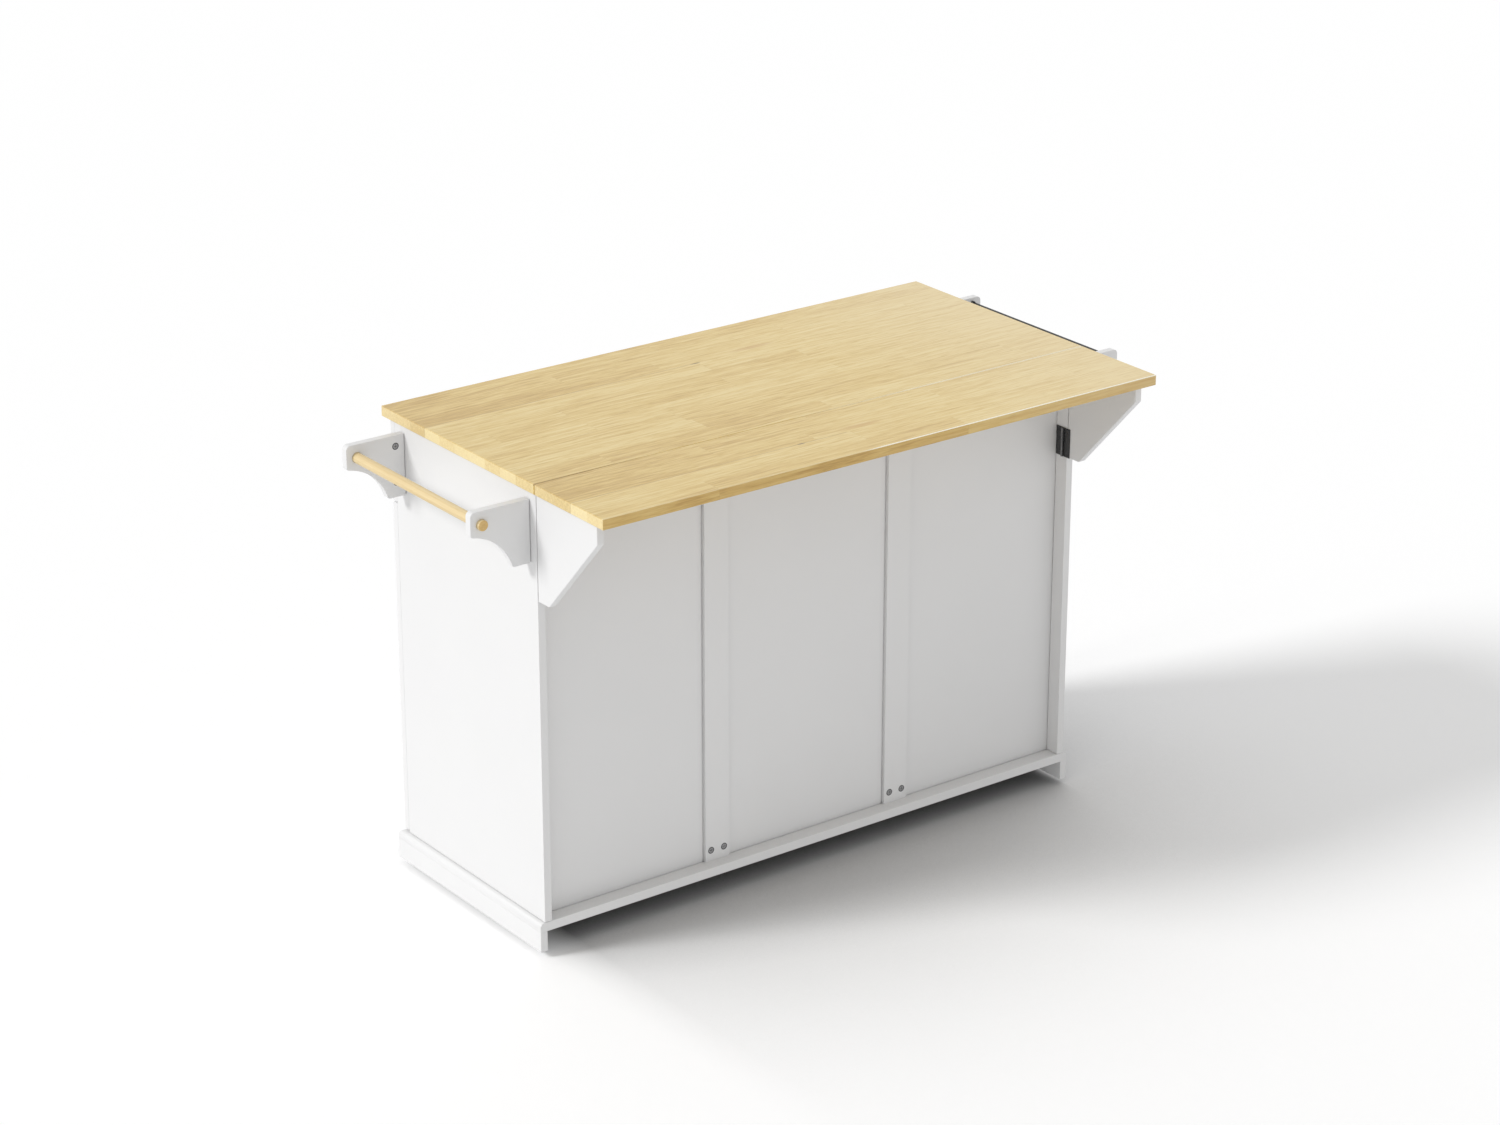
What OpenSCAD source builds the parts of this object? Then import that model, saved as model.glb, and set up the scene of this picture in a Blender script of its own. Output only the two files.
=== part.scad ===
// Drop leaf kitchen island: a painted cabinet of three bays on hidden casters, with a
// hardwood worktop, a drop leaf on swing-out brackets, a towel bar and a spice rack.
// Millimetres. X runs along the worktop and +X is the towel bar's end. The drawers and
// doors face -Y, the drop leaf is at +Y, and Z is up from the floor.
// The origin is on the floor, under the middle of the whole island's outline.

/* [Cabinet] */
// Width over the two side panels
cab_w = 1244; // [1120:2:1500]
// Depth of the side panels, front edge to rear edge
cab_d = 469; // [430:1:600]
// Height of the side panels
side_h = 840; // [780:1:900]
// Thickness of side panels, dividers, stiles and rails
panel_t = 15; // [14:0.5:18]
// Clear width of the middle bay
mid_bay = 413; // [360:1:440]
// How far the back panels stand in from the side panels' rear edges
back_recess = 31; // [28:1:50]
// Thickness of the back panels
back_t = 4; // [3:0.5:5]
// How deep the back panels' edges go into their grooves
groove_d = 5; // [3:0.5:6]
// Width of the face of a back stile
stile_w = 55; // [50:1:80]
// How far a back stile stands proud of the back panels
stile_proud = 5; // [3:0.5:8]
// Open joint between a stile's face and the back panel beside it
stile_gap = 3; // [1:0.5:5]
// Depth of the flat rails, front to back
rail_d = 70; // [50:1:100]
// Height of the rear top rails
rear_rail_h = 80; // [50:1:120]

/* [Worktop and leaf] */
// Thickness of the worktop and the leaf
top_t = 20; // [18:0.5:25]
// How far the worktop stands out past each side panel
over_side = 8; // [4:1:30]
// How far the worktop stands out past the side panels' front edges
over_front = 31; // [22:1:60]
// How far the worktop stands out past the side panels' rear edges
over_rear = 7; // [5:1:12]
// Depth of the drop leaf
leaf_d = 211; // [190:1:300]
// Joint between worktop and leaf
leaf_gap = 1.2; // [1.1:0.1:2]
// Distance of the outer leaf hinges from the middle one
leaf_hinge_x = 350; // [250:5:360]
// Length of a leaf hinge
leaf_hinge_len = 60; // [40:1:70]
// Width of each plate of a leaf hinge, from its pin
leaf_hinge_w = 28; // [20:1:30]

/* [Hinges] */
// Thickness of the hinge plates
plate_t = 1.5; // [1:0.1:2]
// Radius of a hinge barrel
barrel_r = 2.8; // [2.5:0.1:3]
// Radius of a hinge pin
pin_r = 1.4; // [1:0.1:1.6]

/* [Support brackets] */
// Height of a support bracket
bracket_h = 205; // [170:1:260]
// Height of its outer upright edge
bracket_end_h = 39; // [20:1:80]
// Width of its foot
bracket_toe = 35; // [32:1:80]
// Radius between its foot and its slanted edge
bracket_round = 9; // [2:1:20]
// How far its outer edge stays in from the edge of the leaf
bracket_inset = 30; // [10:1:60]
// Height of a bracket hinge
bracket_hinge_h = 59; // [40:1:70]
// How far the bracket hinge's pin stands in from the side panel's rear edge
hinge_inset = 11; // [8:1:12]

/* [Base] */
// Gap between the plinth and the floor
floor_gap = 12; // [11:1:25]
// Height of the plinth boards
plinth_h = 40; // [39:1:60]
// Thickness of the plinth boards
plinth_t = 15; // [12:0.5:18]
// Thickness of the floor board
board_t = 18; // [15:0.5:22]
// How far the floor board stands out past each side panel
base_out = 10; // [6:1:20]
// How far the floor board stands out past the side panels' front edges
base_front = 23; // [20:1:40]
// Radius of the floor board's rounded upper edge
base_round = 9; // [4:0.5:12]

/* [Casters] */
// Radius of a caster wheel
wheel_r = 19; // [16:0.5:19]
// Width of a caster wheel
wheel_w = 16; // [12:1:20]
// Radius of a wheel axle
axle_r = 3; // [2:0.5:4]
// How far the wheel trails behind its swivel pin
trail = 12; // [8:1:16]
// Side of the square caster plate
caster_plate = 42; // [36:1:60]
// Thickness of the caster plate
caster_plate_t = 2.5; // [2:0.5:4]
// Distance of the casters from the ends of the cabinet
caster_in = 82; // [60:1:200]
// Distance of the front casters from the side panels' front edges
caster_front = 60; // [50:1:120]
// Distance of the rear casters from the side panels' rear edges
caster_rear = 110; // [50:1:140]

/* [Fronts] */
// Thickness of doors and drawer fronts
front_t = 15; // [14:0.5:18]
// Gap between neighbouring fronts
front_gap = 3; // [2:0.5:4]
// Gap between the cabinet and the fronts
front_clear = 2; // [1.5:0.5:3]
// Height of a drawer front
drawer_front_h = 160; // [150:1:200]
// Width of the raised frame around a front
frame_w = 55; // [50:1:60]
// Depth of the panel inside that frame
frame_deep = 4; // [2:0.5:5]

/* [Drawers] */
// Thickness of the drawer box boards
box_t = 12; // [9:0.5:15]
// Height of the drawer box
box_h = 100; // [80:1:105]
// Room behind the drawer boxes, in front of the rear top rails
box_back = 35; // [5:1:100]
// Thickness of the drawer bottom
bottom_t = 5; // [3:0.5:8]
// Height of the drawer bottom above the box's lower edge
bottom_up = 10; // [6:1:20]
// Room on each side of the box for its runner
runner_room = 13; // [12.5:0.5:15]
// Height of a runner
runner_h = 36; // [26:1:46]
// Thickness of the runner's sheet metal
runner_t = 1.2; // [1:0.1:2]

/* [Doors] */
// Radius of a hinge cup
cup_r = 17.5; // [15:0.5:17.5]
// Depth of a hinge cup
cup_deep = 11; // [9:0.5:11.5]
// Distance of the cup's middle from the door's edge
cup_edge = 22.5; // [21:0.5:25]
// Distance of the hinges from the door's top and bottom
cup_end = 90; // [70:1:150]
// Length of the hinge arm along the side panel
arm_len = 58; // [45:1:70]

/* [Handles] */
// Radius of a handle's bar
bar_r = 5; // [4:0.5:7]
// Length of a handle's bar
bar_len = 160; // [120:1:200]
// Distance between a handle's posts
post_gap = 128; // [96:1:140]
// Radius of a handle's posts
post_r = 4; // [3:0.5:5]
// How far a handle stands out from its front
handle_out = 30; // [26:1:40]
// Distance of a door handle's upper end from the top of its door
handle_drop = 60; // [40:1:200]

/* [Shelves] */
// Height of the shelves above the floor board
shelf_up = 338; // [250:1:420]
// Thickness of the shelves
shelf_t = 15; // [12:0.5:20]
// How far the shelves' front edges stand in from the side panels' front edges
shelf_in = 30; // [25:1:60]
// Play of a shelf on each side
shelf_play = 1; // [0.5:0.5:3]
// Radius of a shelf pin
shelf_pin_r = 2.5; // [2:0.5:3]
// Depth of the shelf pins' holes
pin_hole = 6; // [5:0.5:6.5]
// How far a shelf pin stands out
pin_out = 8; // [5:0.5:12]
// Distance of the shelf pins from the shelves' front and rear edges
pin_in = 43; // [25:1:90]
// Distance between the shelf pins' heights
pin_step = 64; // [32:32:96]

/* [Racks] */
// Reach of the towel and spice rack brackets
rack_len = 123; // [110:1:140]
// Height of the rack brackets
rack_h = 120; // [110:1:140]
// Height of their outer ends
rack_end_h = 46; // [44:1:60]
// Width of their feet
rack_toe = 38; // [34:1:50]
// Radius of the concave lower edge
rack_arc_r = 101; // [85:1:150]
// Radius of the upper outer corner
rack_corner = 9; // [4:0.5:11]
// Radius of the lower outer corner and of the toe
rack_low_r = 5; // [2:0.5:7]
// Thickness of the rack brackets
rack_t = 15; // [12:0.5:18]
// Joint between a rack bracket and its side panel
rack_gap = 0.6; // [0.3:0.1:0.9]
// Clear distance between the two brackets of a rack
rack_span = 401; // [330:1:405]
// How far the racks hang below the worktop's underside
rack_drop = 17; // [10:1:60]
// Radius of the towel bar
towel_r = 10; // [8:0.5:12]
// How far the towel bar stands out past its brackets
towel_out = 8; // [3:0.5:20]
// Distance of the towel bar from the brackets' outer ends
towel_in = 22; // [20:1:30]
// Distance of the towel bar below the brackets' tops
towel_down = 25; // [22:1:28]
// Radius of the spice rack's rail
rail_r = 2.25; // [2:0.25:4]
// Distance of the rail from the brackets' outer ends
rail_in = 21; // [14:1:30]
// Distance of the rail below the brackets' tops
rail_down = 10; // [8:1:16]
// Thickness of the spice rack's shelf
spice_t = 12; // [9:0.5:15]

/* [Cam locks] */
// Radius of a cam disc
cam_r = 6; // [5:0.5:6.5]
// Depth of a cam disc
cam_deep = 10; // [8:0.5:11]
// Radius of a cam bolt
bolt_r = 2.5; // [2:0.5:3]
// Distance of the cams from a rack bracket's mounting edge
cam_back = 19; // [16:1:24]
// Distance of the upper cams from a rack bracket's top
cam_edge = 21; // [16:1:30]
// Distance of the lower cams from a rack bracket's foot
cam_up = 29; // [22:1:36]
// Distance of a stile's cams from its ends
stile_cam_up = 22; // [18:1:40]
// Distance between the two cams at a stile's end
stile_cam_gap = 30; // [24:1:36]

/* [Hidden] */
// Clearances
slide_gap = 0.3;   // between pieces that slide or turn past each other
pin_fit = 0.05;    // a pin in its barrel
axle_fit = 0.1;    // a wheel on its axle
hole_fit = 0.3;    // the towel bar and the groove play
bracket_gap = 0.5; // a support bracket or its hinge, and what stands beside it
board_gap = 0.3;   // boards that meet at a corner
eps = 0.1;         // how far a cutter runs past a face
$fn = 48;

// Main planes
side_x = cab_w / 2;
inner_x = side_x - panel_t;
front_reach = front_clear + front_t + handle_out;
rear_reach = over_rear + leaf_gap + leaf_d;
front_y = -(front_reach + cab_d + rear_reach) / 2 + front_reach;
rear_y = front_y + cab_d;
mid_y = (front_y + rear_y) / 2;
plinth_z = floor_gap;
board_z = plinth_z + plinth_h;
deck_z = board_z + board_t;
under_z = deck_z + side_h;
joint_y = rear_y + over_rear;
top_len = cab_w + 2 * over_side;

// Back and dividers
panel_y = rear_y - back_recess;
stile_y = panel_y + stile_proud;
stile_back_y = stile_y - panel_t;
divider_x = mid_bay / 2 + panel_t / 2;
stile_lap = stile_gap + groove_d;

// Bays, each [clear left x, clear right x]
bays = [[-inner_x, -divider_x - panel_t / 2],
        [-mid_bay / 2, mid_bay / 2],
        [divider_x + panel_t / 2, inner_x]];
// Fronts, each [left x, right x]
front_edge = side_x - front_gap / 2;
fronts = [[-front_edge, -divider_x - front_gap / 2],
          [-divider_x + front_gap / 2, divider_x - front_gap / 2],
          [divider_x + front_gap / 2, front_edge]];
fronts_y = front_y - front_clear - front_t;
drawer_top_z = under_z - front_gap;
drawer_z = drawer_top_z - drawer_front_h;
door_top_z = drawer_z - front_gap;
door_z = deck_z + front_gap;
split_z = drawer_z - front_gap / 2;
// Wall of a door hinge's cup
cup_wall = 1.5;
// Which edge of each door carries its hinges: -1 left, 1 right
hinge_side = [-1, -1, 1];

// Drawers
box_z = split_z + panel_t / 2 + 10;
runner_z = box_z + box_h / 2;
box_y = front_y - front_clear;
box_len = stile_back_y - panel_t - box_back - box_y;
runner_pad = 5;

// Hinge pins. The bracket hinges' plates fit between their pins and the back panel.
axis_off = barrel_r + slide_gap;
bracket_hinge_w = back_recess - hinge_inset - bracket_gap;
leaf_pin_y = joint_y + leaf_gap / 2;
leaf_pin_z = under_z - axis_off;
fold_x = inner_x - axis_off;
fold_y = rear_y - hinge_inset;

// Support brackets
bracket_y = rear_y + bracket_gap;
bracket_end_y = joint_y + leaf_gap + leaf_d - bracket_inset;
bracket_top_z = under_z - slide_gap;
bracket_z = bracket_top_z - bracket_h;
hinge_low_z = bracket_z;
hinge_high_z = bracket_top_z - 5 - bracket_hinge_h;

// Racks
rack_top_z = under_z - rack_drop;
rack_z = rack_top_z - rack_h;
rack_x = side_x + rack_gap;
rack_end_x = rack_x + rack_len;
rack_ys = [mid_y - rack_span / 2 - rack_t, mid_y + rack_span / 2];
rail_seat = 9;
collar_r = rail_r + 1.75;
collar_len = 6;
spice_z = rack_top_z - rack_end_h + 3;
spice_inset = 6;

// Casters
caster_xs = [side_x - caster_in, -side_x + caster_in];
caster_ys = [front_y + caster_front, rear_y - caster_rear];
fork_t = 2;
fork_side = 0.7;
leg_w = 14;
king_r = 4;
crown_r = 14;
crown_z = 2 * wheel_r + 1.5;
race_z = crown_z + fork_t + slide_gap;

// Screws in a hinge plate: the radius, how far the outer two stand in from its edge on
// the fixed plate and on the flap, and how much nearer the edge the middle one is
screw_r = 1.6;
fixed_screw_in = 9.5;
flap_screw_in = 6.5;
screw_stagger = 3.4;

// Shelf pins
shelf_z = deck_z + shelf_up;
pin_z = shelf_z - shelf_pin_r;
shelf_rear_gap = 2;
pin_ys = [front_y + shelf_in + pin_in, stile_back_y - shelf_rear_gap - pin_in];

// Bores and cams reach this far into the side panels, stiles and boards
bolt_in = 10;

paint = "whitesmoke";
wood = "burlywood";
black = [0.12, 0.12, 0.13];
steel = "silver";

// A block between two opposite corners
module block(low, high) {
    translate(low) cube(high - low);
}

// A round bar along X, Y or Z, from a start point
module bar_x(start, length, r) {
    translate(start) rotate([0, 90, 0]) cylinder(h = length, r = r);
}
module bar_y(start, length, r) {
    translate(start) rotate([-90, 0, 0]) cylinder(h = length, r = r);
}
module bar_z(start, length, r) {
    translate(start) cylinder(h = length, r = r);
}

// ---- Worktop and leaf ----

module countertop() {
    color(wood)
        difference() {
            block([-top_len / 2, front_y - over_front, under_z],
                  [top_len / 2, joint_y, under_z + top_t]);
            // bolts of the stiles' upper cams
            for (side = [-1, 1], i = [-1, 1])
                bar_z([side * divider_x + i * stile_cam_gap / 2,
                       stile_y - panel_t / 2, under_z - eps],
                      bolt_in + eps, bolt_r + pin_fit);
        }
}

module drop_leaf() {
    color(wood)
        block([-top_len / 2, joint_y + leaf_gap, under_z],
              [top_len / 2, joint_y + leaf_gap + leaf_d, under_z + top_t]);
}

// Barrel pieces of a butt hinge whose pin runs along Z from the origin. The first, third
// and fifth belong to the fixed plate, the second and fourth to the flap.
module barrel(length, parts) {
    step = length / 5;
    for (i = parts)
        translate([0, 0, i * step + slide_gap / 2])
            cylinder(h = step - slide_gap, r = barrel_r);
}

// Screw holes in a plate, the middle one nearer its outer edge
module plate_holes(length, width, screw_in) {
    for (i = [-1 : 1])
        bar_x([axis_off - plate_t - eps,
               width - screw_in + (i == 0 ? screw_stagger : 0),
               length / 2 + i * length / 3], plate_t + 2 * eps, screw_r);
}

// One plate with its barrel pieces. The pin runs along Z through the origin, the plate
// reaches along +Y, and its mounting face is at x = axis_off.
module hinge_half(length, width, parts, screw_in, bore) {
    step = length / 5;
    difference() {
        union() {
            translate([axis_off - plate_t, 0, 0])
                cube([plate_t, width, length]);
            barrel(length, parts);
            for (i = parts)
                translate([0, 0, i * step + slide_gap / 2])
                    cube([axis_off, barrel_r, step - slide_gap]);
        }
        // the other half's barrel pieces turn in these notches
        for (i = [0 : 4])
            if (len(search(i, parts)) == 0)
                translate([0, 0, i * step - slide_gap / 2])
                    cylinder(h = step + slide_gap, r = barrel_r + 2 * slide_gap);
        if (bore)
            translate([0, 0, -eps]) cylinder(h = length + 2 * eps, r = pin_r + pin_fit);
        plate_holes(length, width, screw_in);
    }
}
fixed_parts = [0, 2, 4];
flap_parts = [1, 3];

// Fixed half with the pin riveted into it
module hinge_fixed(length, width) {
    hinge_half(length, width, fixed_parts, fixed_screw_in, false);
    cylinder(h = length, r = pin_r);
}
module hinge_flap(length, width) {
    hinge_half(length, width, flap_parts, flap_screw_in, true);
}

// Lays a hinge half under the leaf joint: its Z runs along X, its +X up
module at_leaf_hinge(x) {
    translate([x - leaf_hinge_len / 2, leaf_pin_y, leaf_pin_z])
        rotate([0, -90, 0]) mirror([0, 0, 1]) children();
}
leaf_hinge_xs = [-leaf_hinge_x, 0, leaf_hinge_x];

// Sets a hinge half upright at the right or left side panel
module at_bracket_hinge(side, z) {
    translate([side * fold_x, fold_y, z])
        if (side < 0) mirror([1, 0, 0]) children();
        else children();
}

module hinge_leaves_fixed() {
    color(black) {
        for (x = leaf_hinge_xs)
            at_leaf_hinge(x) mirror([0, 1, 0]) hinge_fixed(leaf_hinge_len, leaf_hinge_w);
        for (side = [1, -1], z = [hinge_low_z, hinge_high_z])
            at_bracket_hinge(side, z)
                mirror([0, 1, 0]) hinge_fixed(bracket_hinge_h, bracket_hinge_w);
    }
}

module leaf_hinge_flaps() {
    color(black)
        for (x = leaf_hinge_xs)
            at_leaf_hinge(x) hinge_flap(leaf_hinge_len, leaf_hinge_w);
}

module bracket_hinge_flaps(side) {
    color(black)
        for (z = [hinge_low_z, hinge_high_z])
            at_bracket_hinge(side, z) hinge_flap(bracket_hinge_h, bracket_hinge_w);
}

// ---- Support brackets ----

// Outline of a support bracket, its mounting edge on the Y axis. The foot runs into the
// slanted edge, which climbs at this angle, over an arc.
module bracket_outline() {
    reach = bracket_end_y - bracket_y;
    slant = atan2(bracket_h - bracket_end_h, reach - bracket_toe);
    turn = bracket_toe - bracket_round * tan(slant / 2);
    steps = 8;
    arc = [for (i = [0 : steps])
               [turn + bracket_round * sin(slant * i / steps),
                bracket_round * (1 - cos(slant * i / steps))]];
    polygon(concat([[0, 0]], arc, [[reach, bracket_h - bracket_end_h],
                                   [reach, bracket_h], [0, bracket_h]]));
}

module support_bracket(side) {
    color(paint)
        translate([side > 0 ? inner_x : -side_x, bracket_y, bracket_z])
            rotate([90, 0, 90]) linear_extrude(panel_t) bracket_outline();
}

// ---- Cabinet ----

// Blind holes for shelf pins, opening toward +X or -X at plane x
module pin_holes(x, way) {
    for (y = pin_ys, i = [-1 : 1])
        bar_x([way > 0 ? x - pin_hole : x - eps, y, pin_z + i * pin_step],
              pin_hole + eps, shelf_pin_r + pin_fit);
}

// Heights of the cams in a rack bracket
rack_cam_zs = [rack_z + cam_up, rack_top_z - cam_edge];

module side_panel(side) {
    low_x = side > 0 ? inner_x : -side_x;
    color(paint)
        difference() {
            block([low_x, front_y, deck_z], [low_x + panel_t, rear_y, under_z]);
            // groove for the back panel
            block([side > 0 ? inner_x - eps : -inner_x - groove_d - hole_fit,
                   panel_y - back_t - hole_fit / 2, deck_z - eps],
                  [side > 0 ? inner_x + groove_d + hole_fit : -inner_x + eps,
                   panel_y + hole_fit / 2, under_z + eps]);
            pin_holes(side * inner_x, -side);
            // bolts of the rack brackets' cams
            for (y = rack_ys, z = rack_cam_zs)
                bar_x([side > 0 ? side_x - bolt_in : -side_x - eps, y + rack_t / 2, z],
                      bolt_in + eps, bolt_r + pin_fit);
        }
}

module divider(side) {
    low_x = side * divider_x - panel_t / 2;
    color(paint)
        difference() {
            block([low_x, front_y, deck_z], [low_x + panel_t, stile_back_y, under_z]);
            pin_holes(low_x, -1);
            pin_holes(low_x + panel_t, 1);
        }
}

// Cross-section across a board's end: square below, rounded at one upper corner
module nose_profile(length) {
    union() {
        square([length - base_round, board_t]);
        square([length, board_t - base_round]);
        translate([length - base_round, board_t - base_round]) circle(r = base_round);
    }
}

module floor_board() {
    half = side_x + base_out;
    depth = cab_d + base_front;
    color(paint)
        difference() {
            intersection() {
                // rounded at both ends
                translate([0, rear_y, board_z]) rotate([90, 0, 0])
                    linear_extrude(depth) union() {
                        nose_profile(half);
                        mirror([1, 0]) nose_profile(half);
                    }
                // rounded along the front
                translate([-half, rear_y, board_z]) rotate([90, 0, 90])
                    linear_extrude(2 * half) mirror([1, 0]) nose_profile(depth);
            }
            // groove for the back panels
            block([-inner_x - groove_d - hole_fit, panel_y - back_t - hole_fit / 2,
                   deck_z - groove_d],
                  [inner_x + groove_d + hole_fit, panel_y + hole_fit / 2,
                   deck_z + eps]);
            // bolts of the stiles' cams
            for (side = [-1, 1], i = [-1, 1])
                bar_z([side * divider_x + i * stile_cam_gap / 2,
                       stile_y - panel_t / 2, deck_z - bolt_in],
                      bolt_in + eps, bolt_r + pin_fit);
        }
}

module top_rails() {
    color(paint)
        for (b = bays) {
            block([b[0], front_y, under_z - panel_t], [b[1], front_y + rail_d, under_z]);
            block([b[0], stile_back_y - panel_t, under_z - rear_rail_h],
                  [b[1], stile_back_y, under_z]);
        }
}

module drawer_rails() {
    color(paint)
        for (b = bays)
            block([b[0], front_y, split_z - panel_t / 2],
                  [b[1], front_y + rail_d, split_z + panel_t / 2]);
}

module back_panels() {
    // each end of a panel is in a side panel's groove or on a stile's flange
    stile_edge = stile_w / 2 + stile_gap;
    ends = [[-inner_x - groove_d, -divider_x - stile_edge],
            [-divider_x + stile_edge, divider_x - stile_edge],
            [divider_x + stile_edge, inner_x + groove_d]];
    color(paint)
        for (e = ends)
            block([e[0], panel_y - back_t, deck_z - groove_d + hole_fit],
                  [e[1], panel_y, under_z - hole_fit]);
}

module back_stiles() {
    half = stile_w / 2;
    color(paint)
        for (side = [-1, 1])
            translate([side * divider_x, 0, 0])
                difference() {
                    union() {
                        block([-half, stile_back_y, deck_z], [half, stile_y, under_z]);
                        // flanges behind the edges of the back panels
                        block([-half - stile_lap, stile_back_y, deck_z],
                              [half + stile_lap, panel_y - back_t, under_z]);
                    }
                    for (i = [-1, 1]) {
                        x = i * stile_cam_gap / 2;
                        for (z = [deck_z + stile_cam_up, under_z - stile_cam_up])
                            bar_y([x, stile_y - cam_deep, z], cam_deep + eps,
                                  cam_r + pin_fit);
                        bar_z([x, stile_y - panel_t / 2, deck_z - eps],
                              stile_cam_up + eps, bolt_r + pin_fit);
                        bar_z([x, stile_y - panel_t / 2, under_z - stile_cam_up],
                              stile_cam_up + eps, bolt_r + pin_fit);
                    }
                }
}

module plinth_boards() {
    half = side_x + base_out;
    front = front_y - base_front;
    color(paint) {
        for (side = [-1, 1])
            block([side > 0 ? half - plinth_t : -half, front, plinth_z],
                  [side > 0 ? half : -half + plinth_t, rear_y, board_z]);
        block([-half + plinth_t + board_gap, front, plinth_z],
              [half - plinth_t - board_gap, front + plinth_t, board_z]);
    }
}

// ---- Cam locks ----

// A slotted disc whose face is at the origin and looks along +Y
module cam_disc() {
    rotate([90, 0, 0])
        difference() {
            cylinder(h = cam_deep, r = cam_r);
            translate([0, 0, -eps]) linear_extrude(2 + eps) {
                square([1.4, cam_r * 1.3], center = true);
                square([cam_r * 1.3, 1.4], center = true);
            }
            // the bolt's head sits in this pocket
            translate([-cam_r - eps, 0, panel_t / 2]) rotate([0, 90, 0])
                cylinder(h = 2 * cam_r + 2 * eps, r = bolt_r + pin_fit);
        }
}

module cam_locks() {
    color(steel) {
        // stiles, at the floor board and at the top
        for (side = [-1, 1], i = [-1, 1]) {
            x = side * divider_x + i * stile_cam_gap / 2;
            y = stile_y - panel_t / 2;
            translate([x, stile_y, deck_z + stile_cam_up]) rotate([0, 90, 0]) cam_disc();
            translate([x, stile_y, under_z - stile_cam_up]) rotate([0, 90, 0]) cam_disc();
            bar_z([x, y, deck_z - bolt_in], bolt_in + stile_cam_up, bolt_r);
            bar_z([x, y, under_z - stile_cam_up], stile_cam_up + bolt_in, bolt_r);
        }
        // rack brackets, discs on the faces that look into the rack
        for (side = [-1, 1], i = [0, 1], z = rack_cam_zs) {
            y = rack_ys[i] + rack_t / 2;
            face = i == 0 ? rack_ys[0] + rack_t : rack_ys[1];
            translate([side * (rack_x + cam_back), face, z])
                mirror([0, i, 0]) cam_disc();
            bar_x([side > 0 ? side_x - bolt_in : -rack_x - cam_back, y, z],
                  bolt_in + rack_gap + cam_back, bolt_r);
        }
    }
}

// ---- Towel bar and spice rack ----

// Outline of a rack bracket, its mounting edge on the Y axis: a plate with a rounded upper
// corner, less a disc whose edge runs from the foot to the outer end
module rack_outline() {
    foot = [rack_toe, 0];
    end = [rack_len, rack_h - rack_end_h];
    chord = end - foot;
    half = norm(chord) / 2;
    away = [chord[1], -chord[0]] / norm(chord);
    middle = (foot + end) / 2 + away * sqrt(rack_arc_r * rack_arc_r - half * half);
    // Centres of the small arcs that touch the concave edge and the end or the foot
    reach = rack_arc_r + rack_low_r;
    low_x = rack_len - rack_low_r;
    low = [low_x, middle[1] + sqrt(reach * reach - pow(middle[0] - low_x, 2))];
    toe = [middle[0] - sqrt(reach * reach - pow(middle[1] - rack_low_r, 2)), rack_low_r];
    low_touch = middle + (low - middle) * rack_arc_r / reach;
    toe_touch = middle + (toe - middle) * rack_arc_r / reach;
    difference() {
        union() {
            square([rack_len - rack_corner, rack_h]);
            square([rack_len, rack_h - rack_corner]);
            translate([rack_len - rack_corner, rack_h - rack_corner])
                circle(r = rack_corner);
        }
        translate(middle) circle(r = rack_arc_r, $fn = 180);
        difference() {
            polygon([low, [rack_len + eps, low[1]], [rack_len + eps, low_touch[1] - eps],
                     [low_touch[0], low_touch[1] - eps]]);
            translate(low) circle(r = rack_low_r);
        }
        difference() {
            polygon([toe, toe_touch, [foot[0] + 2, toe_touch[1]],
                     [foot[0] + 2, -eps], [toe[0], -eps]]);
            translate(toe) circle(r = rack_low_r);
        }
    }
}

// Puts a bracket's outline at the right or left side panel, its thickness along Y
module at_rack(side, i) {
    translate([side * rack_x, rack_ys[i] + rack_t, rack_z])
        if (side < 0) mirror([1, 0, 0]) rotate([90, 0, 0]) children();
        else rotate([90, 0, 0]) children();
}

module rack_bracket(side, i) {
    inward = i == 0 ? rack_ys[0] + rack_t : rack_ys[1];
    color(paint)
        difference() {
            at_rack(side, i) linear_extrude(rack_t) rack_outline();
            for (z = rack_cam_zs) {
                bar_y([side * (rack_x + cam_back),
                       i == 0 ? inward - cam_deep : inward - eps, z],
                      cam_deep + eps, cam_r + pin_fit);
                bar_x([side > 0 ? rack_x - eps : -rack_x - cam_back,
                       rack_ys[i] + rack_t / 2, z], cam_back + eps, bolt_r + pin_fit);
            }
            if (side > 0)
                bar_y([rack_end_x - towel_in, rack_ys[i] - eps, rack_top_z - towel_down],
                      rack_t + 2 * eps, towel_r + hole_fit);
            else
                bar_y([-rack_end_x + rail_in,
                       i == 0 ? inward - rail_seat : inward - eps,
                       rack_top_z - rail_down], rail_seat + eps, rail_r + pin_fit);
        }
}

module towel_bar() {
    length = rack_span + 2 * rack_t + 2 * towel_out;
    color(wood)
        bar_y([rack_end_x - towel_in, mid_y - length / 2, rack_top_z - towel_down],
              length, towel_r);
}

module spice_shelf() {
    color(paint)
        block([-rack_end_x + spice_inset, rack_ys[0] + rack_t, spice_z],
              [-rack_x, rack_ys[1], spice_z + spice_t]);
}

module spice_rail() {
    x = -rack_end_x + rail_in;
    z = rack_top_z - rail_down;
    low = rack_ys[0] + rack_t;
    color(black) {
        bar_y([x, low - rail_seat, z], rack_span + 2 * rail_seat, rail_r);
        for (y = [low, rack_ys[1] - collar_len])
            difference() {
                bar_y([x, y, z], collar_len, collar_r);
                bar_y([x, y - eps, z], collar_len + 2 * eps, rail_r + pin_fit);
            }
    }
}

// ---- Shelves ----

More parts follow.
